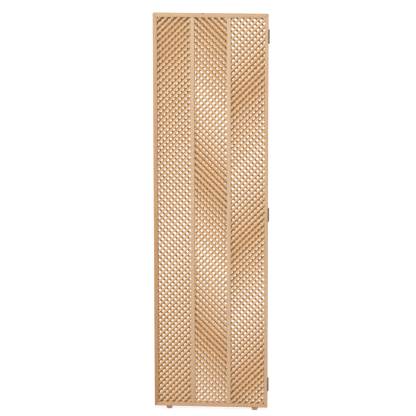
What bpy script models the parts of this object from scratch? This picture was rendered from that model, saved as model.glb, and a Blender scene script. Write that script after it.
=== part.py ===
"""Bamboo folding screen, folded flat: three hinged leaves, each a frame with panels of slanting slats.

Units are metres, +Z is up, +X is to the right and +Y points away from the viewer. The origin is on the floor,
under the middle of the folded stack. Leaf 1 is in front and leaf 3 at the back.
"""

from collections import namedtuple
from math import ceil, cos, pi, sin, sqrt

import bmesh
import bpy
from mathutils import Matrix, Vector

# Leaf
LEAF_WIDTH = 0.480
FRAME_HEIGHT = 1.688
LEAF_THICKNESS = 0.011
LEAF_GAP = 0.001
LEFT_STILE_WIDTH = 0.0178
RIGHT_STILE_WIDTH = 0.0132
TOP_RAIL_HEIGHT = 0.0138
BOTTOM_RAIL_HEIGHT = 0.0165
MUNTIN_WIDTH = 0.0168
LEFT_MUNTIN_FROM_LEFT = 0.1563
RIGHT_MUNTIN_FROM_LEFT = 0.3085

# Groove that runs round each opening, and the tongues and panels that sit in it
GROOVE_DEPTH = 0.003
FIT = 0.0003

# Slats
SLAT_WIDTH = 0.0086
SLAT_THICKNESS = 0.004
LEAST_GAP_AREA = 0.00001
SLAT_PITCH = 0.026
SLAT_LEAN = 1.0
SLAT_START = -0.066

# Feet
FOOT_HEIGHT = 0.012
FOOT_LENGTH = 0.031
FOOT_DEPTH = 0.0095
FOOT_END_TAPER = 0.0062
FOOT_FACE_TAPER = 0.0006
FOOT_EDGE = 0.0018
FOOT_EDGE_STEPS = 2
FOOT_FROM_LEFT = 0.063
FOOT_FROM_RIGHT = 0.053

# Butt hinges: the right ones lie on the side faces of the stiles, the left ones are let in flush
HINGE_LENGTH = 0.058
TOP_HINGE_INSET = 0.093
BOTTOM_HINGE_INSET = 0.101
MIDDLE_HINGE_DROP = 0.005
PLATE_WIDTH = 0.0072
PLATE_THICKNESS = 0.0012
RIGHT_KNUCKLE_RADIUS = 0.0030
LEFT_KNUCKLE_RADIUS = 0.0022
LEFT_AXIS_OFFSET = 0.0002
KNUCKLE_GAP = 0.0004
TAB_THICKNESS = 0.001
TAB_REACH = 0.0025
PIN_RADIUS = 0.0012
PIN_HEAD_RADIUS = 0.0019
PIN_HEAD_HEIGHT = 0.0012
ROUND_SIDES = 12

# Dark stud on the front leaf's top rail
STUD_FROM_LEFT = 0.209
STUD_RADIUS = 0.0052
STUD_HEIGHT = 0.004
STUD_CROWN = 0.002
STUD_CROWN_STEPS = 3
STUD_SIDES = 16

# Meshing
WELD = 0.00001
SMOOTH_ANGLE = pi / 5

# Leaf 3's slats fall in and out of step with leaf 1's. Each column has bands where they close each other's
# gaps: the height of one band above the frame's lower edge, and the distance from band to band.
Bands = namedtuple("Bands", "height spacing")
BANDS = {
    "left": Bands(0.18, 1.55),
    "middle": Bands(0.475, 0.61),
    "right": Bands(0.22, 0.57),
}
LEAVES = ("leaf_1", "leaf_2", "leaf_3")
COLUMNS = tuple(BANDS)

# Derived places
HALF_WIDTH = LEAF_WIDTH / 2
LEAF_STEP = LEAF_THICKNESS + LEAF_GAP
FRAME_LOW = FOOT_HEIGHT
FRAME_HIGH = FOOT_HEIGHT + FRAME_HEIGHT
OPEN_LOW = FRAME_LOW + BOTTOM_RAIL_HEIGHT
OPEN_HIGH = FRAME_HIGH - TOP_RAIL_HEIGHT
MUNTIN_MIDDLES = {
    "left": -HALF_WIDTH + LEFT_MUNTIN_FROM_LEFT + MUNTIN_WIDTH / 2,
    "right": -HALF_WIDTH + RIGHT_MUNTIN_FROM_LEFT + MUNTIN_WIDTH / 2,
}
OPEN_LEFT = -HALF_WIDTH + LEFT_STILE_WIDTH
OPEN_RIGHT = HALF_WIDTH - RIGHT_STILE_WIDTH
COLUMN_SIDES = {
    "left": (OPEN_LEFT, MUNTIN_MIDDLES["left"] - MUNTIN_WIDTH / 2),
    "middle": (MUNTIN_MIDDLES["left"] + MUNTIN_WIDTH / 2, MUNTIN_MIDDLES["right"] - MUNTIN_WIDTH / 2),
    "right": (MUNTIN_MIDDLES["right"] + MUNTIN_WIDTH / 2, OPEN_RIGHT),
}
GROOVE_WIDTH = SLAT_THICKNESS + 2 * FIT
TONGUE_LENGTH = GROOVE_DEPTH - FIT
RIGHT_AXIS_OFFSET = FIT + RIGHT_KNUCKLE_RADIUS
RIGHT_AXIS = Vector((HALF_WIDTH + RIGHT_AXIS_OFFSET, -LEAF_STEP / 2, 0))
LEFT_AXIS = Vector((-HALF_WIDTH - LEFT_AXIS_OFFSET, LEAF_STEP / 2, 0))
LEFT_PLATE_DEPTH = PLATE_THICKNESS + FIT
LEFT_BARREL_DEPTH = LEFT_KNUCKLE_RADIUS + KNUCKLE_GAP - LEFT_AXIS_OFFSET
HINGE_HEIGHTS = {
    "bottom": FRAME_LOW + BOTTOM_HINGE_INSET,
    "middle": FRAME_LOW + FRAME_HEIGHT / 2 - MIDDLE_HINGE_DROP,
    "top": FRAME_HIGH - TOP_HINGE_INSET,
}


def leaf_depth(leaf):
    """The place of a leaf's middle plane along Y in the folded stack."""
    return (LEAVES.index(leaf) - 1) * LEAF_STEP


def clear_scene():
    for old in list(bpy.data.objects):
        bpy.data.objects.remove(old)


def new_collection(name):
    collection = bpy.data.collections.new(name)
    bpy.context.scene.collection.children.link(collection)
    return collection


def new_material(name, color, roughness, metallic=0.0):
    material = bpy.data.materials.new(name)
    material.use_nodes = True
    shader = material.node_tree.nodes["Principled BSDF"]
    shader.inputs["Base Color"].default_value = (*color, 1.0)
    shader.inputs["Roughness"].default_value = roughness
    shader.inputs["Metallic"].default_value = metallic
    return material


def add_part(name, data, leaf, place=(0, 0, 0), turn=0.0):
    """An object of the model, carried by its leaf's empty, with its place given in world coordinates."""
    part = bpy.data.objects.new(name, data)
    PARTS.objects.link(part)
    part.parent = CARRIERS[leaf]
    part.location = Vector(place) - CARRIERS[leaf].location
    part.rotation_euler = (0, 0, turn)
    return part


def add_cutter(name, mesh, place=(0, 0, 0), carrier=None):
    cutter = bpy.data.objects.new(name, mesh)
    CUTTERS.objects.link(cutter)
    cutter.hide_render = True
    cutter.display_type = "WIRE"
    cutter.parent = carrier
    cutter.location = Vector(place) - (carrier.location if carrier else Vector())
    return cutter


def combine(part, cutter, operation):
    modifier = part.modifiers.new(cutter.name, "BOOLEAN")
    modifier.operation = operation
    modifier.solver = "EXACT"
    modifier.object = cutter


def box_mesh(name, low, high):
    """A box between two corners, with its corners in the mesh."""
    mesh = bpy.data.meshes.new(name)
    bm = bmesh.new()
    bmesh.ops.create_cube(bm, size=1)
    size = Vector(high) - Vector(low)
    bmesh.ops.scale(bm, vec=size, verts=bm.verts)
    bmesh.ops.translate(bm, vec=(Vector(low) + Vector(high)) / 2, verts=bm.verts)
    bm.to_mesh(mesh)
    bm.free()
    return mesh


def cylinder_mesh(name, radius, low, high):
    """An upright cylinder about the Z axis."""
    mesh = bpy.data.meshes.new(name)
    bm = bmesh.new()
    bmesh.ops.create_cone(
        bm, cap_ends=True, segments=ROUND_SIDES, radius1=radius, radius2=radius, depth=high - low
    )
    bmesh.ops.translate(bm, vec=(0, 0, (low + high) / 2), verts=bm.verts)
    bm.to_mesh(mesh)
    bm.free()
    return mesh


def turned_part(name, profile, leaf, place, sides):
    """A turned piece: a profile, listed down its outer side, swept round Z by a Screw modifier."""
    mesh = bpy.data.meshes.new(name)
    bm = bmesh.new()
    points = [bm.verts.new((radius, 0, height)) for radius, height in profile]
    for above, below in zip(points, points[1:]):
        bm.edges.new((above, below))
    bm.to_mesh(mesh)
    bm.free()
    part = add_part(name, mesh, leaf, place)
    screw = part.modifiers.new("turn", "SCREW")
    screw.steps = sides
    screw.render_steps = sides
    screw.use_merge_vertices = True
    screw.merge_threshold = WELD
    return part


def finish(part, material, smooth=False):
    part.data.materials.clear()
    part.data.materials.append(material)
    if smooth:
        part.data.shade_smooth()
        part.data.set_sharp_from_angle(angle=SMOOTH_ANGLE)


def framed(name, leaf, mesh, grooves, tongue=None):
    """A frame member with grooves cut in it, and a tongue that runs out at both ends, each (low, high)."""
    place = (0, leaf_depth(leaf), 0)
    part = add_part(name, mesh, leaf, place)
    if tongue:
        combine(part, add_cutter(f"{name}_tongue", box_mesh(name, *tongue), place, CARRIERS[leaf]), "UNION")
    for number, groove in enumerate(grooves):
        cutter = add_cutter(f"{name}_groove_{number}", box_mesh(name, *groove), place, CARRIERS[leaf])
        combine(part, cutter, "DIFFERENCE")
    finish(part, BAMBOO)


def hinge_recesses(leaf):
    """The mortises for the left hinges in a leaf's left stile: one box for a plate and one for its barrel."""
    if leaf == "leaf_1":
        return []
    towards = -1 if leaf == "leaf_2" else 1
    axis = LEFT_AXIS.y - leaf_depth(leaf)
    clear = LEFT_KNUCKLE_RADIUS + KNUCKLE_GAP
    plate_half = HINGE_LENGTH / 2 + FIT
    barrel_half = plate_half + PIN_HEAD_HEIGHT + FIT
    plate_near, plate_far = sorted((axis, axis + towards * (clear + PLATE_WIDTH + FIT)))
    outside = -HALF_WIDTH - LEFT_BARREL_DEPTH
    boxes = []
    for height in HINGE_HEIGHTS.values():
        boxes.append(
            (
                (outside, plate_near, height - plate_half),
                (-HALF_WIDTH + LEFT_PLATE_DEPTH, plate_far, height + plate_half),
            )
        )
        boxes.append(
            (
                (outside, axis - clear, height - barrel_half),
                (-HALF_WIDTH + LEFT_BARREL_DEPTH, axis + clear, height + barrel_half),
            )
        )
    return boxes


def build_stile(leaf, side):
    """An upright of the frame, mitred at both ends, with a groove along its inner edge."""
    name = f"{leaf}_{side}_stile"
    groove = GROOVE_WIDTH / 2
    sign = -1 if side == "left" else 1
    outer = sign * HALF_WIDTH
    inner = OPEN_LEFT if side == "left" else OPEN_RIGHT
    near, far = inner - GROOVE_DEPTH, inner + GROOVE_DEPTH
    outline = [(outer, FRAME_LOW), (inner, OPEN_LOW), (inner, OPEN_HIGH), (outer, FRAME_HIGH)]
    grooves = [((near, -groove, FRAME_LOW), (far, groove, FRAME_HIGH))]
    if side == "left":
        grooves += hinge_recesses(leaf)
    framed(name, leaf, prism_mesh(name, [outline], LEAF_THICKNESS), grooves)


def build_rail(leaf, end):
    """A crossbar of the frame, mitred between the stiles, with a groove along its inner edge."""
    name = f"{leaf}_{end}_rail"
    groove = GROOVE_WIDTH / 2
    outer, inner = (FRAME_LOW, OPEN_LOW) if end == "bottom" else (FRAME_HIGH, OPEN_HIGH)
    outline = [
        (-HALF_WIDTH + FIT, outer),
        (OPEN_LEFT + FIT, inner),
        (OPEN_RIGHT - FIT, inner),
        (HALF_WIDTH - FIT, outer),
    ]
    slot = ((-HALF_WIDTH, -groove, inner - GROOVE_DEPTH), (HALF_WIDTH, groove, inner + GROOVE_DEPTH))
    framed(name, leaf, prism_mesh(name, [outline], LEAF_THICKNESS), [slot])


def build_muntin(leaf, side):
    """An inner upright between two columns, grooved on both edges, with a tongue in each rail's groove."""
    name = f"{leaf}_{side}_muntin"
    half = LEAF_THICKNESS / 2
    tongue = SLAT_THICKNESS / 2
    groove = GROOVE_WIDTH / 2
    middle = MUNTIN_MIDDLES[side]
    reach = MUNTIN_WIDTH / 2
    bed = reach - GROOVE_DEPTH
    web = bed - FIT
    low = OPEN_LOW - TONGUE_LENGTH
    high = OPEN_HIGH + TONGUE_LENGTH
    corners = ((middle - reach, -half, OPEN_LOW + FIT), (middle + reach, half, OPEN_HIGH - FIT))
    framed(
        name,
        leaf,
        box_mesh(name, *corners),
        grooves=[
            ((middle - reach - GROOVE_DEPTH, -groove, low - FIT), (middle - bed, groove, high + FIT)),
            ((middle + bed, -groove, low - FIT), (middle + reach + GROOVE_DEPTH, groove, high + FIT)),
        ],
        tongue=((middle - web, -tongue, low), (middle + web, tongue, high)),
    )


def slat_heights(leaf, column):
    """The height of each slat at the column's middle, from the foot up."""
    start, pitch = SLAT_START, SLAT_PITCH
    if leaf == "leaf_3":
        bands = BANDS[column]
        start += SLAT_PITCH * ((0.5 - (bands.height - SLAT_START) / bands.spacing) % 1 - 1)
        pitch *= 1 + SLAT_PITCH / bands.spacing
    count = ceil((FRAME_HEIGHT - 2 * SLAT_START) / pitch) + 1
    return [FRAME_LOW + start + pitch * number for number in range(count)]


def slat_lean(leaf, column):
    """A slat's rise for each unit to the right: the columns make a chevron, and leaf 2 crosses it."""
    falls = (column == "middle") != (leaf == "leaf_2")
    return -SLAT_LEAN if falls else SLAT_LEAN


def clip(outline, axis, limit, keep_above):
    """The part of a convex outline on one side of an upright or level line."""
    kept = []
    for here, following in zip(outline, outline[1:] + outline[:1]):
        inside = (here[axis] >= limit) == keep_above
        if inside:
            kept.append(here)
        if inside != ((following[axis] >= limit) == keep_above):
            share = (limit - here[axis]) / (following[axis] - here[axis])
            kept.append(tuple(a + (b - a) * share for a, b in zip(here, following)))
    return kept


def outline_area(outline):
    pairs = zip(outline, outline[1:] + outline[:1])
    return abs(sum(a[0] * b[1] - b[0] * a[1] for a, b in pairs)) / 2


def slat_gaps(leaf, column):
    """The open spaces between neighbouring slats, each an outline in X and Z inside the column's opening."""
    left, right = COLUMN_SIDES[column]
    reach = slat_lean(leaf, column) * (right - left) / 2
    half = SLAT_WIDTH / 2 * sqrt(1 + SLAT_LEAN * SLAT_LEAN)
    heights = slat_heights(leaf, column)
    gaps = []
    for below, above in zip(heights, heights[1:]):
        low, high = below + half, above - half
        outline = [(left, low - reach), (right, low + reach), (right, high + reach), (left, high - reach)]
        outline = clip(outline, 1, OPEN_LOW, True)
        outline = clip(outline, 1, OPEN_HIGH, False)
        if len(outline) > 2 and outline_area(outline) > LEAST_GAP_AREA:
            gaps.append(outline)
    return gaps


def prism_mesh(name, outlines, thickness):
    """Upright outlines in X and Z, filled and given a thickness along Y, as one mesh."""
    curve = bpy.data.curves.new(name, "CURVE")
    curve.dimensions = "2D"
    curve.fill_mode = "BOTH"
    curve.extrude = thickness / 2
    for outline in outlines:
        spline = curve.splines.new("POLY")
        spline.points.add(len(outline) - 1)
        for point, (x, z) in zip(spline.points, outline):
            point.co = (x, z, 0, 1)
        spline.use_cyclic_u = True
    flat = bpy.data.objects.new(name, curve)
    CUTTERS.objects.link(flat)
    depsgraph = bpy.context.evaluated_depsgraph_get()
    mesh = bpy.data.meshes.new_from_object(flat.evaluated_get(depsgraph))
    bpy.data.objects.remove(flat)
    bm = bmesh.new()
    bm.from_mesh(mesh)
    bmesh.ops.remove_doubles(bm, verts=bm.verts, dist=WELD)
    bmesh.ops.rotate(bm, cent=(0, 0, 0), matrix=Matrix.Rotation(pi / 2, 3, "X"), verts=bm.verts)
    bmesh.ops.recalc_face_normals(bm, faces=bm.faces)
    bm.to_mesh(mesh)
    bm.free()
    return mesh


def build_panel(leaf, column):
    """The slats of one column, with the strip round them that sits in the frame's grooves."""
    name = f"{leaf}_{column}_slats"
    place = (0, leaf_depth(leaf), 0)
    half = SLAT_THICKNESS / 2
    left, right = COLUMN_SIDES[column]
    low = (left - TONGUE_LENGTH, -half, OPEN_LOW - TONGUE_LENGTH)
    high = (right + TONGUE_LENGTH, half, OPEN_HIGH + TONGUE_LENGTH)
    panel = add_part(name, box_mesh(name, low, high), leaf, place)
    gaps = prism_mesh(name, slat_gaps(leaf, column), 2 * SLAT_THICKNESS)
    combine(panel, add_cutter(f"{name}_gaps", gaps, place, CARRIERS[leaf]), "DIFFERENCE")
    finish(panel, SLAT)


def build_foot(leaf, side):
    """A tapered block under the bottom rail."""
    name = f"{leaf}_{side}_foot"
    middle = -HALF_WIDTH + FOOT_FROM_LEFT if side == "left" else HALF_WIDTH - FOOT_FROM_RIGHT
    high = FOOT_HEIGHT - FIT
    mesh = box_mesh(name, (-FOOT_LENGTH / 2, -FOOT_DEPTH / 2, 0), (FOOT_LENGTH / 2, FOOT_DEPTH / 2, high))
    bm = bmesh.new()
    bm.from_mesh(mesh)
    sole = [vert for vert in bm.verts if vert.co.z < high / 2]
    narrowed = (1 - 2 * FOOT_END_TAPER / FOOT_LENGTH, 1 - 2 * FOOT_FACE_TAPER / FOOT_DEPTH, 1)
    bmesh.ops.scale(bm, vec=narrowed, verts=sole)
    bm.to_mesh(mesh)
    bm.free()
    foot = add_part(name, mesh, leaf, (middle, leaf_depth(leaf), 0))
    bevel = foot.modifiers.new("eased edges", "BEVEL")
    bevel.width = FOOT_EDGE
    bevel.segments = FOOT_EDGE_STEPS
    finish(foot, FOOT)


def hinge_plate_mesh(name, knuckles, side, radius, face):
    """A hinge plate with its knuckles about a hinge axis on Z. Its back lies at face in X, by the stile."""
    third = (HINGE_LENGTH - 2 * KNUCKLE_GAP) / 3
    clear = radius + KNUCKLE_GAP
    half = HINGE_LENGTH / 2
    rim = (PLATE_THICKNESS - TAB_THICKNESS) / 2
    near, far = sorted((side * clear, side * (clear + PLATE_WIDTH)))
    master = bpy.data.objects.new(
        name, box_mesh(name, (face, near, -half), (face + PLATE_THICKNESS, far, half))
    )
    CUTTERS.objects.link(master)
    for knuckle in knuckles:
        low = -half + knuckle * (third + KNUCKLE_GAP)
        high = low + third
        start, end = sorted((0, side * (clear + TAB_REACH)))
        tab = box_mesh(name, (face + rim, start, low + rim), (face + PLATE_THICKNESS - rim, end, high - rim))
        combine(master, add_cutter(f"{name}_tab_{knuckle}", tab), "UNION")
        barrel = cylinder_mesh(name, radius, low, high)
        combine(master, add_cutter(f"{name}_barrel_{knuckle}", barrel), "UNION")
    bore_radius = (PIN_RADIUS + FIT) / cos(pi / ROUND_SIDES)
    bore = cylinder_mesh(name, bore_radius, -HINGE_LENGTH, HINGE_LENGTH)
    combine(master, add_cutter(f"{name}_bore", bore), "DIFFERENCE")
    bpy.context.view_layer.update()
    depsgraph = bpy.context.evaluated_depsgraph_get()
    mesh = bpy.data.meshes.new_from_object(master.evaluated_get(depsgraph))
    mesh.name = name
    bpy.data.objects.remove(master)
    return mesh


def pin_profile():
    """A hinge pin with a small head at both ends, down its outer side."""
    seat = HINGE_LENGTH / 2 + FIT
    end = seat + PIN_HEAD_HEIGHT
    upper = [(0, end), (PIN_HEAD_RADIUS, end), (PIN_HEAD_RADIUS, seat), (PIN_RADIUS, seat)]
    lower = [(radius, -height) for radius, height in reversed(upper)]
    return upper + lower


def build_hinge(side, spot, outer_mesh, inner_mesh):
    """One butt hinge: the outer plate and the pin on leaf 1 or 3, the inner plate on leaf 2."""
    axis, outer_leaf, turn = (RIGHT_AXIS, "leaf_1", 0) if side == "right" else (LEFT_AXIS, "leaf_3", pi)
    place = axis + Vector((0, 0, HINGE_HEIGHTS[spot]))
    name = f"{side}_{spot}_hinge"
    plates = (("outer_plate", outer_mesh, outer_leaf), ("inner_plate", inner_mesh, "leaf_2"))
    for plate_name, mesh, leaf in plates:
        plate = add_part(f"{name}_{plate_name}", mesh, leaf, place, turn)
        finish(plate, STEEL, smooth=True)
    pin = turned_part(f"{name}_pin", pin_profile(), outer_leaf, place, ROUND_SIDES)
    finish(pin, STEEL, smooth=True)


def build_stud():
    """A small domed stud that stands on the front leaf's top rail."""
    place = (-HALF_WIDTH + STUD_FROM_LEFT, leaf_depth("leaf_1"), FRAME_HIGH + FIT)
    shoulder = STUD_HEIGHT - STUD_CROWN
    profile = [(0, STUD_HEIGHT)]
    for step in range(1, STUD_CROWN_STEPS + 1):
        angle = pi / 2 * step / STUD_CROWN_STEPS
        profile.append((STUD_RADIUS * sin(angle), shoulder + STUD_CROWN * cos(angle)))
    profile += [(STUD_RADIUS, 0), (0, 0)]
    finish(turned_part("top_stud", profile, "leaf_1", place, STUD_SIDES), STEEL, smooth=True)


clear_scene()
PARTS = new_collection("bamboo_folding_screen")
CUTTERS = new_collection("cutters")
BAMBOO = new_material("bamboo_frame", (0.68, 0.45, 0.26), 0.5)
SLAT = new_material("bamboo_slat", (0.74, 0.52, 0.31), 0.5)
FOOT = new_material("foot_wood", (0.50, 0.26, 0.15), 0.6)
STEEL = new_material("dark_steel", (0.12, 0.11, 0.09), 0.45, 0.8)

# One carrier for each leaf, standing on the axis that the leaf turns about
CARRIERS = {}
for leaf_name, axis_point in zip(LEAVES, (Vector(), RIGHT_AXIS, LEFT_AXIS)):
    carrier = bpy.data.objects.new(f"{leaf_name}_carrier", None)
    carrier.location = axis_point
    PARTS.objects.link(carrier)
    CARRIERS[leaf_name] = carrier

for leaf_name in LEAVES:
    for leaf_side in ("left", "right"):
        build_stile(leaf_name, leaf_side)
        build_muntin(leaf_name, leaf_side)
        build_foot(leaf_name, leaf_side)
    for rail_end in ("bottom", "top"):
        build_rail(leaf_name, rail_end)
    for column_name in COLUMNS:
        build_panel(leaf_name, column_name)

HINGE_FORMS = {
    "right": (RIGHT_KNUCKLE_RADIUS, -RIGHT_KNUCKLE_RADIUS),
    "left": (LEFT_KNUCKLE_RADIUS, -LEFT_AXIS_OFFSET - PLATE_THICKNESS),
}
for hinge_side, (knuckle_radius, plate_face) in HINGE_FORMS.items():
    outer_plate = hinge_plate_mesh(f"{hinge_side}_outer_plate", (0, 2), -1, knuckle_radius, plate_face)
    inner_plate = hinge_plate_mesh(f"{hinge_side}_inner_plate", (1,), 1, knuckle_radius, plate_face)
    for hinge_spot in HINGE_HEIGHTS:
        build_hinge(hinge_side, hinge_spot, outer_plate, inner_plate)
build_stud()
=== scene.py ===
"""Looks of the bamboo folding screen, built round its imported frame. Lengths are in metres."""

import random
from collections import namedtuple
from math import ceil, cos, pi, radians, sin, sqrt

import bmesh
import bpy
from mathutils import Matrix, Quaternion, Vector


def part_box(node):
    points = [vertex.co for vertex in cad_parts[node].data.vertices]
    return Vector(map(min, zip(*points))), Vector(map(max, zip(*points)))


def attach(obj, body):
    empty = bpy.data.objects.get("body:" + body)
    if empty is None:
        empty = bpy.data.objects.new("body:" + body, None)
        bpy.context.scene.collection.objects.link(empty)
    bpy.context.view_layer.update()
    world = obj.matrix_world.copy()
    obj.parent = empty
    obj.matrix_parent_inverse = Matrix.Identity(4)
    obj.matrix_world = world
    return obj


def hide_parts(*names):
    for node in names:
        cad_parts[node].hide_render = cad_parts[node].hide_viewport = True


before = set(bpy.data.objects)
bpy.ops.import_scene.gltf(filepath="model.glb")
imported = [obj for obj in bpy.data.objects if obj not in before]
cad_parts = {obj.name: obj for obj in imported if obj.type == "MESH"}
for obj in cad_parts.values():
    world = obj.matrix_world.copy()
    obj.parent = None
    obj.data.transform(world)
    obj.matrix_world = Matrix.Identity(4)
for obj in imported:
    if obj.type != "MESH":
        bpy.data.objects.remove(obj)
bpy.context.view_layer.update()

MM = 0.001
LEAVES = ("leaf_1", "leaf_2", "leaf_3")
COLUMNS = ("left", "middle", "right")
SIDES = ("left", "right")
SPOTS = ("bottom", "middle", "top")
UPRIGHT, LEVEL = 2, 0
WELD = 0.00001
SMOOTH_ANGLE = radians(38)

# Camera
CAMERA_AIM = Vector((-0.0119, 0.0, 0.8751))
CAMERA_DISTANCE = 12.0
CAMERA_ELEVATION = radians(12.443)
CAMERA_AZIMUTH = radians(4.569)
CAMERA_ROLL = radians(-0.079)
FOCAL_PIXELS = 2854.4
IMAGE_PIXELS = 416
SENSOR = 36.0
CAMERA_REACH = 200

# Frame members. Tones are for a member's foot or left end and for its other end, and a higher one is deeper.
# They are partly painted shade: the uprights darken towards their feet and the bottom rail is deep, where
# light falls off downwards. The rest is each member's own tone. Members not named draw one tone between 0 and
# 1.
LONG_ROUND = 1.6 * MM
LONG_ROUND_STEPS = 3
FRAME_TONES_AND_SHADE = {
    "leaf_1_left_stile": (2.7, 0.95),
    "leaf_1_left_muntin": (1.0, -0.3),
    "leaf_1_right_muntin": (0.75, -0.3),
    "leaf_1_right_stile": (1.05, 0.6),
    "leaf_1_top_rail": (-0.05, 0.8),
    "leaf_1_bottom_rail": (1.2, 1.35),
}

# Slats
SLAT_WIDTH = 8.6 * MM
SLAT_THICKNESS = 4.0 * MM
SLAT_ROUND = 1.5 * MM
SLAT_ROUND_STEPS = 2
GRAIN_SHIFT = 3.0
# How much of the deeper inside colour a slat's back takes. It is partly the inside of the cane and partly
# painted shade for the backs seen in the gaps between slats.
BACK_CUT_AND_SHADE = 0.5
BACK_FACING = 0.7
SLAT_PITCH = 26.0 * MM
SLAT_LEAN = 1.0
SLAT_START = -66.0 * MM

# Leaf 3's slats fall in and out of step with leaf 1's. Each column has bands where they close each other's
# gaps: the height of one band above the frame's lower edge, and the distance from band to band.
Bands = namedtuple("Bands", "height spacing")
BANDS = {
    "left": Bands(180.0 * MM, 1550.0 * MM),
    "middle": Bands(475.0 * MM, 610.0 * MM),
    "right": Bands(220.0 * MM, 570.0 * MM),
}

# Feet
FOOT_ROUND = 2.6 * MM
FOOT_ROUND_STEPS = 4
FOOT_END_TAPER = 0.6
FOOT_FACE_TAPER = 0.90

# Hinges, about an axis on Z with the stiles' sides behind it in X
HINGE_LENGTH = 58.0 * MM
PLATE_WIDTH = 7.2 * MM
PLATE_THICKNESS = 1.2 * MM
PLATE_CORNER = 1.4 * MM
PLATE_CORNER_STEPS = 4
RIGHT_KNUCKLE_RADIUS = 3.0 * MM
LEFT_KNUCKLE_RADIUS = 2.2 * MM
LEFT_AXIS_OFFSET = 0.2 * MM
KNUCKLE_GAP = 0.4 * MM
ROLL_TURN = radians(296)
ROLL_STEPS = 18
PIN_RADIUS = 1.2 * MM
PIN_HEAD_RADIUS = 1.9 * MM
PIN_HEAD_HEIGHT = 1.2 * MM
PIN_SEAT = 0.3 * MM
ROUND_SIDES = 24
SCREW_RADIUS = 2.4 * MM
SCREW_SEAT = 0.25 * MM
SCREW_SPREAD = 18.0 * MM
SLOT_HALF = 0.32 * MM
SLOT_SHARE = 0.67

# Shares of a head's radius and rise, from its middle to its rim: the rise left in a screw, the drop in a pin
PIN_DOME = ((0, 0), (0.55, 0.1), (0.88, 0.35), (1, 0.65))
SCREW_DOME = ((0, 1), (0.5, 0.87), (0.85, 0.62), (1, 0.42))

# The left plates meet face to face when the leaves open flat, so their screws lie almost flush
RIGHT_SCREW_RISE = 0.6 * MM
LEFT_SCREW_RISE = 0.14 * MM

# For each side's hinges: knuckle radius, where the plates' backs lie, the screws' rise, the leaf with the
# pin, and the turn
HINGE_FORMS = {
    "right": (RIGHT_KNUCKLE_RADIUS, -RIGHT_KNUCKLE_RADIUS, RIGHT_SCREW_RISE, "leaf_1", 0.0),
    "left": (LEFT_KNUCKLE_RADIUS, -LEFT_AXIS_OFFSET - PLATE_THICKNESS, LEFT_SCREW_RISE, "leaf_3", pi),
}

# Stud
STUD_CROWN = 2.0 * MM
STUD_STEPS = 6
STUD_RIM = 0.7 * MM

# Light: the lamps in front are a little cool, and what comes from all round and off the floor is warm.
# The floor is seen as white, from paint and glow together.
COOL_LIGHT = (0.92, 0.99, 1.06)
WARM_LIGHT = (1.0, 0.90, 0.78, 1)
WHITE = (1, 1, 1, 1)
WORLD_LEVEL = 0.45
KEY_POWER = 1.5
FILL_POWER = 52
BACK_POWER = 1.7
FLOOR_SIZE = 40
FLOOR_BOUNCE = (0.62, 0.56, 0.49, 1)
FLOOR_SEEN = (0.3, 0.3, 0.3, 1)
FLOOR_GLOW = 0.78


def place_of(node):
    """A node's lowest and highest corners, as vectors."""
    low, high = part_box(node)
    return Vector(low), Vector(high)


def finish_piece(name, bm, material, body, slot, *nodes):
    """Makes a shaped bmesh a piece of the screen that rides on a body and stands for CAD nodes."""
    mesh = bpy.data.meshes.new(name)
    bm.to_mesh(mesh)
    bm.free()
    mesh.materials.append(material)
    mesh.shade_smooth()
    mesh.set_sharp_from_angle(angle=SMOOTH_ANGLE)
    piece = bpy.data.objects.new(name, mesh)
    bpy.context.scene.collection.objects.link(piece)
    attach(piece, body)
    if nodes:
        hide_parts(*nodes)
    return piece


def bevel(bm, edges, offset, segments):
    bmesh.ops.bevel(
        bm,
        geom=edges,
        offset=offset,
        offset_type="OFFSET",
        affect="EDGES",
        segments=segments,
        profile=0.5,
        material=-1,
        clamp_overlap=True,
    )


def lay_grain(bm, along, tone, corner, back=0):
    """Gives a bamboo piece a UV map with U along the fibre, its tone, and how far each face takes the deeper
    cut colour. That colour is partly cut bamboo and partly painted shade on the sides and backs that lie in
    the gaps between slats.

    Back is the sense along Y of a split piece's back, which shows the inside of the cane.
    """
    grain = bm.loops.layers.uv.new("grain")
    tones = bm.verts.layers.float.new("tone")
    cut_and_shade = bm.faces.layers.float.new("cut")
    for vert in bm.verts:
        vert[tones] = tone
    for face in bm.faces:
        # Side faces, and slat backs that face the front, take the deeper colour: partly cut bamboo, partly
        # painted shade where they lie in the gaps between slats.
        face[cut_and_shade] = BACK_CUT_AND_SHADE if face.normal.y * back > BACK_FACING else 1.0 - abs(face.normal.y)
        for loop in face.loops:
            local = loop.vert.co - corner
            across = sum(local) - local[along]
            loop[grain].uv = (local[along], across)


def merged_copy(node):
    """A node's mesh as a bmesh with its triangles merged back to whole faces."""
    bm = bmesh.new()
    bm.from_mesh(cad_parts[node].data)
    bmesh.ops.remove_doubles(bm, verts=bm.verts, dist=WELD)
    bmesh.ops.dissolve_limit(bm, angle_limit=radians(1), verts=bm.verts, edges=bm.edges)
    return bm


def make_member(leaf, name, along, material):
    """A stile, rail or muntin with its long edges rounded."""
    node = f"{leaf}_{name}"
    low, high = place_of(node)
    bm = merged_copy(node)
    across = UPRIGHT if along == LEVEL else LEVEL

    def on_outside(vert, axis):
        return min(abs(vert.co[axis] - low[axis]), abs(vert.co[axis] - high[axis])) < WELD

    corners = [
        edge
        for edge in bm.edges
        if all(on_outside(vert, axis) for vert in edge.verts for axis in (1, across))
        and abs((edge.verts[0].co - edge.verts[1].co)[along]) > high.y - low.y
    ]
    bevel(bm, corners, LONG_ROUND, LONG_ROUND_STEPS)
    bm.normal_update()
    drawn = random.Random(node).random()
    first, last = FRAME_TONES_AND_SHADE.get(node, (drawn, drawn))
    lay_grain(bm, along, first, low)
    tones = bm.verts.layers.float["tone"]
    # The tone runs from one end's value to the other's along the member. On the uprights this paints shade
    # that deepens towards the feet.
    for vert in bm.verts:
        vert[tones] += (last - first) * (vert.co[along] - low[along]) / (high[along] - low[along])
    finish_piece(f"{node}_bamboo", bm, material, leaf, "bamboo_frame", node)


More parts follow.
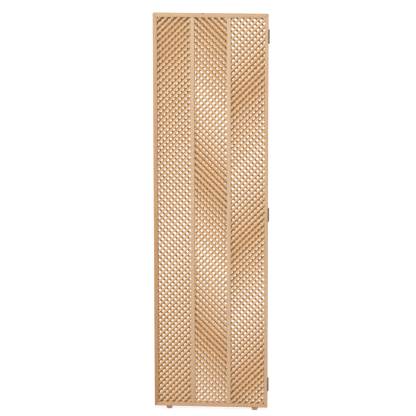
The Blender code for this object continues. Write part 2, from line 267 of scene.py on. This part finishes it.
def slat_heights(leaf, column):
    """The height of each slat at the column's middle, from the foot up."""
    stile_low, stile_high = place_of(f"{leaf}_left_stile")
    start, pitch = SLAT_START, SLAT_PITCH
    if leaf == "leaf_3":
        bands = BANDS[column]
        start += SLAT_PITCH * ((0.5 - (bands.height - SLAT_START) / bands.spacing) % 1 - 1)
        pitch *= 1 + SLAT_PITCH / bands.spacing
    count = ceil((stile_high.z - stile_low.z - 2 * SLAT_START) / pitch) + 1
    return [stile_low.z + start + pitch * number for number in range(count)]


def trim(bm, height, keep_below):
    """Cuts a closed shape off at a height, and closes the cut."""
    whole = bm.verts[:] + bm.edges[:] + bm.faces[:]
    cut = bmesh.ops.bisect_plane(
        bm, geom=whole, plane_co=(0, 0, height), plane_no=(0, 0, 1 if keep_below else -1), clear_outer=True
    )
    rim = [part for part in cut["geom_cut"] if isinstance(part, bmesh.types.BMEdge)]
    if rim:
        bmesh.ops.edgeloop_fill(bm, edges=rim)


def make_slat(length, lean, tone, back):
    """One slat along X, crowned on both faces, with upright ends once it leans."""
    slope = sqrt(1 + lean * lean)
    bm = bmesh.new()
    bmesh.ops.create_cube(bm, size=1)
    bmesh.ops.scale(bm, vec=(length, SLAT_THICKNESS, SLAT_WIDTH), verts=bm.verts)
    long_edges = [e for e in bm.edges if abs((e.verts[0].co - e.verts[1].co).x) > length / 2]
    bevel(bm, long_edges, SLAT_ROUND, SLAT_ROUND_STEPS)
    bm.normal_update()
    corner = Vector((-tone * GRAIN_SHIFT - length / 2, -SLAT_THICKNESS / 2, tone - SLAT_WIDTH / 2))
    lay_grain(bm, LEVEL, tone, corner, back)
    bmesh.ops.scale(bm, vec=(1, 1, slope), verts=bm.verts)
    shear = Matrix.Identity(4)
    shear[2][0] = lean
    bmesh.ops.transform(bm, matrix=shear, verts=bm.verts)
    return bm


def make_slats(leaf, column, material):
    """The row of slats in one column of a leaf."""
    node = f"{leaf}_{column}_slats"
    low, high = place_of(node)
    length = high.x - low.x
    middle = (low + high) / 2
    draw = random.Random(node)
    row = bmesh.new()
    scratch = bpy.data.meshes.new("slat")
    falls = (column == "middle") != (leaf == "leaf_2")
    lean = -SLAT_LEAN if falls else SLAT_LEAN
    for height in slat_heights(leaf, column):
        slat = make_slat(length, lean, draw.random(), -1 if leaf == "leaf_2" else 1)
        bmesh.ops.translate(slat, vec=(middle.x, middle.y, height), verts=slat.verts)
        trim(slat, high.z, True)
        trim(slat, low.z, False)
        slat.to_mesh(scratch)
        slat.free()
        row.from_mesh(scratch)
    bpy.data.meshes.remove(scratch)
    finish_piece(f"{node}_bamboo", row, material, leaf, "bamboo_slats", node)


def make_foot(leaf, side, material):
    """A block foot with slanting sides and rounded lower edges."""
    node = f"{leaf}_{side}_foot"
    low, high = place_of(node)
    middle = (low + high) / 2
    bm = bmesh.new()
    bmesh.ops.create_cube(bm, size=1)
    bmesh.ops.scale(bm, vec=high - low, verts=bm.verts)
    sole = [vert for vert in bm.verts if vert.co.z < 0]
    bmesh.ops.scale(bm, vec=(FOOT_END_TAPER, FOOT_FACE_TAPER, 1), verts=sole)
    rounded = [edge for edge in bm.edges if any(vert.co.z < 0 for vert in edge.verts)]
    bevel(bm, rounded, FOOT_ROUND, FOOT_ROUND_STEPS)
    bmesh.ops.translate(bm, vec=middle, verts=bm.verts)
    bm.normal_update()
    lay_grain(bm, LEVEL, random.Random(node).random(), low)
    finish_piece(f"{node}_block", bm, material, leaf, "foot_wood", node)


def rolled_plate(knuckles, side, radius, back):
    """A hinge plate about an axis on Z, its back at back in X, with knuckles rolled from its near edge."""
    half = HINGE_LENGTH / 2
    third = (HINGE_LENGTH - 2 * KNUCKLE_GAP) / 3
    near = radius + KNUCKLE_GAP
    bm = bmesh.new()
    bmesh.ops.create_cube(bm, size=1)
    bmesh.ops.scale(bm, vec=(PLATE_THICKNESS, PLATE_WIDTH, HINGE_LENGTH), verts=bm.verts)
    middle = (back + PLATE_THICKNESS / 2, side * (near + PLATE_WIDTH / 2), 0)
    bmesh.ops.translate(bm, vec=middle, verts=bm.verts)
    far = side * (near + PLATE_WIDTH)
    corners = [e for e in bm.edges if all(abs(v.co.y - far) < WELD for v in e.verts)]
    corners = [e for e in corners if abs((e.verts[0].co - e.verts[1].co).x) > WELD]
    bevel(bm, corners, PLATE_CORNER, PLATE_CORNER_STEPS)
    for height in (-third / 2 - KNUCKLE_GAP, -third / 2, third / 2, third / 2 + KNUCKLE_GAP):
        whole = bm.verts[:] + bm.edges[:] + bm.faces[:]
        bmesh.ops.bisect_plane(bm, geom=whole, plane_co=(0, 0, height), plane_no=(0, 0, 1))
    for knuckle in knuckles:
        low = -half + knuckle * (third + KNUCKLE_GAP)
        tip_face = next(
            face
            for face in bm.faces
            if abs(face.calc_center_median().y - side * near) < WELD
            and low < face.calc_center_median().z < low + third
        )
        for crank in (-radius - back, 0):
            drawn = bmesh.ops.extrude_face_region(bm, geom=[tip_face])["geom"]
            tip = [part for part in drawn if isinstance(part, bmesh.types.BMVert)]
            bmesh.ops.translate(bm, vec=(crank, -side * near / 2, 0), verts=tip)
            tip_face = next(part for part in drawn if isinstance(part, bmesh.types.BMFace))
        bmesh.ops.spin(
            bm,
            geom=[tip_face, *tip_face.edges, *tip_face.verts],
            axis=(0, 0, 1),
            cent=(0, 0, 0),
            angle=side * ROLL_TURN,
            steps=ROLL_STEPS,
        )
    bmesh.ops.remove_doubles(bm, verts=bm.verts, dist=WELD)
    bmesh.ops.recalc_face_normals(bm, faces=bm.faces)
    return bm


def turned(profile, sides):
    """A turned shape: a profile of (radius, height), swept once round Z and closed."""
    bm = bmesh.new()
    points = [bm.verts.new((radius, 0, height)) for radius, height in profile]
    edges = [bm.edges.new(pair) for pair in zip(points, points[1:])]
    bmesh.ops.spin(
        bm, geom=points + edges, axis=(0, 0, 1), cent=(0, 0, 0), angle=2 * pi, steps=sides, use_merge=True
    )
    bmesh.ops.remove_doubles(bm, verts=bm.verts, dist=WELD)
    bmesh.ops.recalc_face_normals(bm, faces=bm.faces)
    return bm


def hinge_pin():
    """A pin with a small domed head at both ends."""
    seat = HINGE_LENGTH / 2 + PIN_SEAT
    end = seat + PIN_HEAD_HEIGHT
    upper = [(PIN_HEAD_RADIUS * out, end - PIN_HEAD_HEIGHT * drop) for out, drop in PIN_DOME]
    upper += [(PIN_HEAD_RADIUS, seat), (PIN_RADIUS, seat)]
    return turned(upper + [(radius, -height) for radius, height in reversed(upper)], ROUND_SIDES)


def screw_head(turn, rise):
    """A countersunk screw head on Z that stands up by rise, with a slot across it."""
    dome = [(SCREW_RADIUS * out, rise * up) for out, up in SCREW_DOME]
    bm = turned(dome + [(SCREW_RADIUS, -SCREW_SEAT), (0, -SCREW_SEAT)], ROUND_SIDES)
    for edge in (-SLOT_HALF, SLOT_HALF):
        whole = bm.verts[:] + bm.edges[:] + bm.faces[:]
        bmesh.ops.bisect_plane(bm, geom=whole, plane_co=(0, edge, 0), plane_no=(0, 1, 0))
    bm.normal_update()
    slot = [
        face
        for face in bm.faces
        if abs(face.calc_center_median().y) < SLOT_HALF and face.normal.z > 0.5
    ]
    sunk = bmesh.ops.extrude_face_region(bm, geom=slot)["geom"]
    floor_verts = [part for part in sunk if isinstance(part, bmesh.types.BMVert)]
    bmesh.ops.translate(bm, vec=(0, 0, -SLOT_SHARE * rise), verts=floor_verts)
    bmesh.ops.rotate(bm, cent=(0, 0, 0), matrix=Matrix.Rotation(turn, 3, "Z"), verts=bm.verts)
    return bm


def plate_screws(side, radius, face, rise, draw):
    """The two screws of a hinge plate whose outer side lies at face, their heads towards +X."""
    pair = bmesh.new()
    scratch = bpy.data.meshes.new("screw")
    across = side * (radius + KNUCKLE_GAP + PLATE_WIDTH / 2)
    for height in (-SCREW_SPREAD, SCREW_SPREAD):
        screw = screw_head(draw.uniform(0, pi), rise)
        bmesh.ops.rotate(screw, cent=(0, 0, 0), matrix=Matrix.Rotation(pi / 2, 3, "Y"), verts=screw.verts)
        bmesh.ops.translate(screw, vec=(face, across, height), verts=screw.verts)
        screw.to_mesh(scratch)
        screw.free()
        pair.from_mesh(scratch)
    bpy.data.meshes.remove(scratch)
    return pair


def make_hinge(side, spot, steel, bright):
    """One butt hinge: plates with rolled knuckles, the pin and four screws."""
    name = f"{side}_{spot}_hinge"
    low, high = place_of(f"{name}_pin")
    radius, back, rise, outer_leaf, turn = HINGE_FORMS[side]
    place = Matrix.Translation((low + high) / 2) @ Matrix.Rotation(turn, 4, "Z")
    for plate, knuckles, hand, leaf in (("outer", (0, 2), -1, outer_leaf), ("inner", (1,), 1, "leaf_2")):
        node = f"{name}_{plate}_plate"
        shape = rolled_plate(knuckles, hand, radius, back)
        bmesh.ops.transform(shape, matrix=place, verts=shape.verts)
        finish_piece(f"{node}_rolled", shape, steel, leaf, "hinge_steel", node)
        screws = plate_screws(hand, radius, back + PLATE_THICKNESS, rise, random.Random(node))
        bmesh.ops.transform(screws, matrix=place, verts=screws.verts)
        finish_piece(f"{node}_screws", screws, bright, leaf, "hinge_steel")
    pin = hinge_pin()
    bmesh.ops.transform(pin, matrix=place, verts=pin.verts)
    finish_piece(f"{name}_pin_turned", pin, steel, outer_leaf, "hinge_steel", f"{name}_pin")


def make_stud(material):
    """The small domed stud on the front leaf's top rail."""
    low, high = place_of("top_stud")
    radius = (high.x - low.x) / 2
    height = high.z - low.z
    shoulder = height - STUD_CROWN
    profile = [(0, height)]
    for step in range(1, STUD_STEPS + 1):
        angle = pi / 2 * step / STUD_STEPS
        profile.append((radius * sin(angle), shoulder + STUD_CROWN * cos(angle)))
    profile += [(radius, STUD_RIM), (radius - STUD_RIM, 0), (0, 0)]
    bm = turned(profile, ROUND_SIDES)
    middle = (low + high) / 2
    bmesh.ops.translate(bm, vec=(middle.x, middle.y, low.z), verts=bm.verts)
    finish_piece("top_stud_domed", bm, material, "leaf_1", "stud_steel", "top_stud")


def linear(red, green, blue):
    """A display colour of 0 to 255 as linear values with alpha."""
    def channel(value):
        value /= 255
        return value / 12.92 if value <= 0.04045 else ((value + 0.055) / 1.055) ** 2.4
    return channel(red), channel(green), channel(blue), 1.0


def add_node(tree, kind, inputs=(), **settings):
    """A shader node with its settings. Each input is (name or index, value or another node's output)."""
    node = tree.nodes.new(kind)
    for name, value in settings.items():
        setattr(node, name, value)
    for key, value in inputs:
        if isinstance(value, bpy.types.NodeSocket):
            tree.links.new(value, node.inputs[key])
        else:
            node.inputs[key].default_value = value
    return node


def arithmetic(tree, operation, first, second):
    return add_node(tree, "ShaderNodeMath", ((0, first), (1, second)), operation=operation).outputs[0]


def blend(tree, share, first, second, past_ends=False):
    """Two colours mixed by a share, which may go past them."""
    mix = add_node(
        tree,
        "ShaderNodeMix",
        ((0, share), (6, first), (7, second)),
        data_type="RGBA",
        clamp_factor=not past_ends,
    )
    return mix.outputs[2]


def spread(tree, value, low, high, to_low=0.0, to_high=1.0):
    """A value taken from one range to another, and kept inside it."""
    node = add_node(
        tree,
        "ShaderNodeMapRange",
        (("Value", value), ("From Min", low), ("From Max", high), ("To Min", to_low), ("To Max", to_high)),
        clamp=True,
    )
    return node.outputs["Result"]


def streaks(tree, vector, along, across, detail=2.0):
    """Noise drawn out along the fibre, with so many changes in a metre along it and across it."""
    stretched = add_node(
        tree, "ShaderNodeMapping", (("Vector", vector), ("Scale", (along, across, across)))
    ).outputs[0]
    noise = add_node(
        tree, "ShaderNodeTexNoise", (("Vector", stretched), ("Scale", 1.0), ("Detail", detail))
    )
    return noise.outputs["Fac"]


def new_group(name, inputs, outputs):
    """A shader node group with named sockets. Returns its tree, its input node and its output node."""
    tree = bpy.data.node_groups.new(name, "ShaderNodeTree")
    for socket, kind in inputs:
        tree.interface.new_socket(socket, in_out="INPUT", socket_type=f"NodeSocket{kind}")
    for socket, kind in outputs:
        tree.interface.new_socket(socket, in_out="OUTPUT", socket_type=f"NodeSocket{kind}")
    return tree, tree.nodes.new("NodeGroupInput"), tree.nodes.new("NodeGroupOutput")


def bamboo_group():
    """Bamboo: long fibres, short dark vessels, soft bands, a node line now and then, and deeper cut faces,
    which are partly cut bamboo and partly painted shade for the gaps between slats.
    """
    tree, given, result = new_group(
        "bamboo_fibre",
        (
            ("Grain", "Vector"),
            ("Tone", "Float"),
            ("Cut_And_Shade", "Float"),
            ("Pale", "Color"),
            ("Deep", "Color"),
            ("Vessel", "Color"),
            ("Inside", "Color"),
            ("Ring", "Float"),
        ),
        (("Color", "Color"), ("Roughness", "Float"), ("Height", "Float")),
    )
    grain, tone = given.outputs["Grain"], given.outputs["Tone"]
    fibre = streaks(tree, grain, 14, 900, 3.0)
    band = streaks(tree, grain, 3, 150, 1.0)
    vessel = spread(tree, streaks(tree, grain, 90, 1900, 1.0), 0.60, 0.72)
    depth = arithmetic(tree, "MULTIPLY", spread(tree, fibre, 0.3, 0.7), 0.38)
    depth = arithmetic(tree, "ADD", depth, arithmetic(tree, "MULTIPLY", spread(tree, band, 0.3, 0.7), 0.25))
    depth = arithmetic(tree, "ADD", depth, arithmetic(tree, "MULTIPLY", tone, 0.37))
    color = blend(tree, depth, given.outputs["Pale"], given.outputs["Deep"], True)
    color = blend(tree, arithmetic(tree, "MULTIPLY", vessel, 0.3), color, given.outputs["Vessel"])
    along = add_node(tree, "ShaderNodeSeparateXYZ", ((0, grain),)).outputs[0]
    wrapped = arithmetic(tree, "FRACT", arithmetic(tree, "MULTIPLY", along, 3.1), 0.0)
    off_node = arithmetic(tree, "ABSOLUTE", arithmetic(tree, "SUBTRACT", wrapped, 0.5), 0.0)
    ring = arithmetic(tree, "MULTIPLY", spread(tree, off_node, 0.003, 0.010, 1.0, 0.0), given.outputs["Ring"])
    color = blend(tree, ring, color, given.outputs["Vessel"])
    # Cut faces take the inside colour. On slats this is partly painted shade for the gaps between them.
    color = blend(tree, given.outputs["Cut_And_Shade"], color, given.outputs["Inside"])
    tree.links.new(color, result.inputs["Color"])
    tree.links.new(spread(tree, fibre, 0.3, 0.7, 0.52, 0.68), result.inputs["Roughness"])
    height = arithmetic(tree, "SUBTRACT", fibre, arithmetic(tree, "MULTIPLY", vessel, 0.5))
    height = arithmetic(tree, "ADD", height, arithmetic(tree, "MULTIPLY", ring, 0.8))
    tree.links.new(height, result.inputs["Height"])
    return tree


def metal_group():
    """Old metal: mottled colour, and rubbed spots that are brighter and smoother."""
    tree, given, result = new_group(
        "aged_metal",
        (("Place", "Vector"), ("Dark", "Color"), ("Rubbed", "Color")),
        (("Color", "Color"), ("Roughness", "Float"), ("Height", "Float")),
    )
    place = given.outputs["Place"]
    mottle = add_node(
        tree, "ShaderNodeTexNoise", (("Vector", place), ("Scale", 420.0), ("Detail", 4.0))
    ).outputs["Fac"]
    rub = add_node(
        tree, "ShaderNodeTexNoise", (("Vector", place), ("Scale", 130.0), ("Detail", 2.0))
    ).outputs["Fac"]
    rubbed = arithmetic(tree, "MULTIPLY", spread(tree, rub, 0.48, 0.72), 0.7)
    specks = arithmetic(tree, "MULTIPLY", spread(tree, mottle, 0.4, 0.7), 0.25)
    rubbed = arithmetic(tree, "ADD", rubbed, specks)
    color = blend(tree, rubbed, given.outputs["Dark"], given.outputs["Rubbed"])
    tree.links.new(color, result.inputs["Color"])
    tree.links.new(spread(tree, rubbed, 0.0, 0.9, 0.62, 0.36), result.inputs["Roughness"])
    tree.links.new(mottle, result.inputs["Height"])
    return tree


def new_material(name, group, inputs, bump, metallic=0.0, gloss=0.5):
    """A material whose Principled shader takes colour, roughness and relief from a group."""
    material = bpy.data.materials.new(name)
    material.use_nodes = True
    tree = material.node_tree
    shader = tree.nodes["Principled BSDF"]
    effect = add_node(tree, "ShaderNodeGroup", node_tree=group)
    for key, value in inputs(tree):
        if isinstance(value, bpy.types.NodeSocket):
            tree.links.new(value, effect.inputs[key])
        else:
            effect.inputs[key].default_value = value
    relief = add_node(
        tree,
        "ShaderNodeBump",
        (("Strength", 1.0), ("Distance", bump), ("Height", effect.outputs["Height"])),
    )
    tree.links.new(effect.outputs["Color"], shader.inputs["Base Color"])
    tree.links.new(effect.outputs["Roughness"], shader.inputs["Roughness"])
    tree.links.new(relief.outputs["Normal"], shader.inputs["Normal"])
    shader.inputs["Metallic"].default_value = metallic
    shader.inputs["Specular IOR Level"].default_value = gloss
    return material


def bamboo_inputs(pale, deep, vessel, inside, ring):
    """What the bamboo group reads from a piece: its grain map, its tone and its cut faces."""
    def inputs(tree):
        grain = add_node(tree, "ShaderNodeUVMap", uv_map="grain").outputs["UV"]
        tone = add_node(tree, "ShaderNodeAttribute", attribute_name="tone").outputs["Fac"]
        cut = add_node(tree, "ShaderNodeAttribute", attribute_name="cut").outputs["Fac"]
        return (
            ("Grain", grain),
            ("Tone", tone),
            ("Cut_And_Shade", cut),
            ("Pale", pale),
            ("Deep", deep),
            ("Vessel", vessel),
            ("Inside", inside),
            ("Ring", ring),
        )
    return inputs


def metal_inputs(dark, rubbed):
    def inputs(tree):
        place = add_node(tree, "ShaderNodeTexCoord").outputs["Object"]
        return ("Place", place), ("Dark", dark), ("Rubbed", rubbed)
    return inputs


def seen_directly(tree):
    """One where a surface is seen by the camera, in a reflection or through glass, and nought elsewhere."""
    path = add_node(tree, "ShaderNodeLightPath")
    seen = arithmetic(tree, "MAXIMUM", path.outputs["Is Camera Ray"], path.outputs["Is Glossy Ray"])
    return arithmetic(tree, "MAXIMUM", seen, path.outputs["Is Transmission Ray"])


def make_floor():
    """A pale floor that reads as white and keeps a soft shadow."""
    bm = bmesh.new()
    bmesh.ops.create_grid(bm, x_segments=1, y_segments=1, size=FLOOR_SIZE)
    mesh = bpy.data.meshes.new("floor")
    bm.to_mesh(mesh)
    bm.free()
    floor = bpy.data.objects.new("floor", mesh)
    bpy.context.scene.collection.objects.link(floor)
    material = bpy.data.materials.new("pale_floor")
    material.use_nodes = True
    tree = material.node_tree
    tree.nodes.clear()
    seen = seen_directly(tree)
    paint = blend(tree, seen, FLOOR_BOUNCE, FLOOR_SEEN)
    matt = add_node(tree, "ShaderNodeBsdfDiffuse", (("Color", paint),))
    shine = arithmetic(tree, "MULTIPLY", seen, FLOOR_GLOW)
    glow = add_node(tree, "ShaderNodeEmission", (("Strength", shine),))
    both = add_node(tree, "ShaderNodeAddShader", ((0, matt.outputs[0]), (1, glow.outputs[0])))
    add_node(tree, "ShaderNodeOutputMaterial", (("Surface", both.outputs[0]),))
    mesh.materials.append(material)


def make_world(strength):
    """Even pale light from all round, seen as white."""
    world = bpy.data.worlds.new("studio")
    bpy.context.scene.world = world
    world.use_nodes = True
    tree = world.node_tree
    seen = seen_directly(tree)
    level = spread(tree, seen, 0.0, 1.0, strength, 1.0)
    sky = tree.nodes["Background"]
    tree.links.new(blend(tree, seen, WARM_LIGHT, WHITE), sky.inputs["Color"])
    tree.links.new(level, sky.inputs["Strength"])


def make_lamp(name, kind, power, place, aim, **settings):
    """A soft lamp at a place, turned to an aim."""
    light = bpy.data.lights.new(name, kind)
    light.energy = power
    for key, value in settings.items():
        setattr(light, key, value)
    lamp = bpy.data.objects.new(name, light)
    lamp.location = place
    lamp.rotation_euler = (Vector(aim) - Vector(place)).to_track_quat("-Z", "Y").to_euler()
    bpy.context.scene.collection.objects.link(lamp)


def make_camera():
    out = Vector(
        (
            sin(CAMERA_AZIMUTH) * cos(CAMERA_ELEVATION),
            -cos(CAMERA_AZIMUTH) * cos(CAMERA_ELEVATION),
            sin(CAMERA_ELEVATION),
        )
    )
    data = bpy.data.cameras.new("camera")
    data.sensor_width = SENSOR
    data.lens = FOCAL_PIXELS / IMAGE_PIXELS * SENSOR
    data.clip_end = CAMERA_REACH
    camera = bpy.data.objects.new("camera", data)
    camera.location = CAMERA_AIM + CAMERA_DISTANCE * out
    turn = (-out).to_track_quat("-Z", "Y") @ Quaternion((0, 0, 1), CAMERA_ROLL)
    camera.rotation_euler = turn.to_euler()
    bpy.context.scene.collection.objects.link(camera)
    bpy.context.scene.camera = camera


bpy.context.scene.view_settings.view_transform = "Standard"
make_camera()
make_floor()
make_world(WORLD_LEVEL)
make_lamp("key", "SUN", KEY_POWER, (-3, -10, 11), (0, 0, 1), angle=radians(16), color=COOL_LIGHT)
make_lamp(
    "fill", "AREA", FILL_POWER, (0.3, -5.0, 4.6), (0, 0, 1.3), shape="DISK", size=1.5, color=COOL_LIGHT
)
make_lamp("back", "SUN", BACK_POWER, (4, 10, 9), (0, 0, 1), angle=radians(30))

BAMBOO = bamboo_group()
METAL = metal_group()
# The frame's deep colour, reached and passed by the higher tones, is partly painted shade towards the
# uprights' feet.
frame_bamboo = new_material(
    "frame_bamboo",
    BAMBOO,
    bamboo_inputs(
        linear(232, 204, 172), linear(206, 165, 126), linear(150, 98, 58), linear(200, 158, 118), 0.0
    ),
    0.00006,
    gloss=0.2,
)
# The slats' inside colour is deeper and oranger than the cane. This is partly painted shade for their sides
# and backs seen in the gaps between slats.
slat_bamboo = new_material(
    "slat_bamboo",
    BAMBOO,
    bamboo_inputs(
        linear(236, 210, 170), linear(220, 180, 126), linear(160, 100, 52), linear(218, 146, 76), 0.35
    ),
    0.00006,
    gloss=0.12,
)
foot_wood = new_material(
    "foot_wood",
    BAMBOO,
    bamboo_inputs(
        linear(204, 156, 128), linear(176, 122, 94), linear(110, 70, 48), linear(176, 122, 94), 0.0
    ),
    0.00008,
    gloss=0.2,
)
hinge_steel = new_material(
    "hinge_steel", METAL, metal_inputs(linear(128, 117, 101), linear(182, 170, 152)), 0.00003, 0.7
)
screw_steel = new_material(
    "screw_steel", METAL, metal_inputs(linear(110, 104, 94), linear(185, 178, 165)), 0.00002, 0.9
)
stud_steel = new_material(
    "stud_steel", METAL, metal_inputs(linear(138, 112, 84), linear(176, 150, 120)), 0.00003, 0.5
)

for leaf in LEAVES:
    for side in SIDES:
        make_member(leaf, f"{side}_stile", UPRIGHT, frame_bamboo)
        make_member(leaf, f"{side}_muntin", UPRIGHT, frame_bamboo)
        make_foot(leaf, side, foot_wood)
    for end in ("bottom", "top"):
        make_member(leaf, f"{end}_rail", LEVEL, frame_bamboo)
    for column in COLUMNS:
        make_slats(leaf, column, slat_bamboo)
for side in SIDES:
    for spot in SPOTS:
        make_hinge(side, spot, hinge_steel, screw_steel)
make_stud(stud_steel)
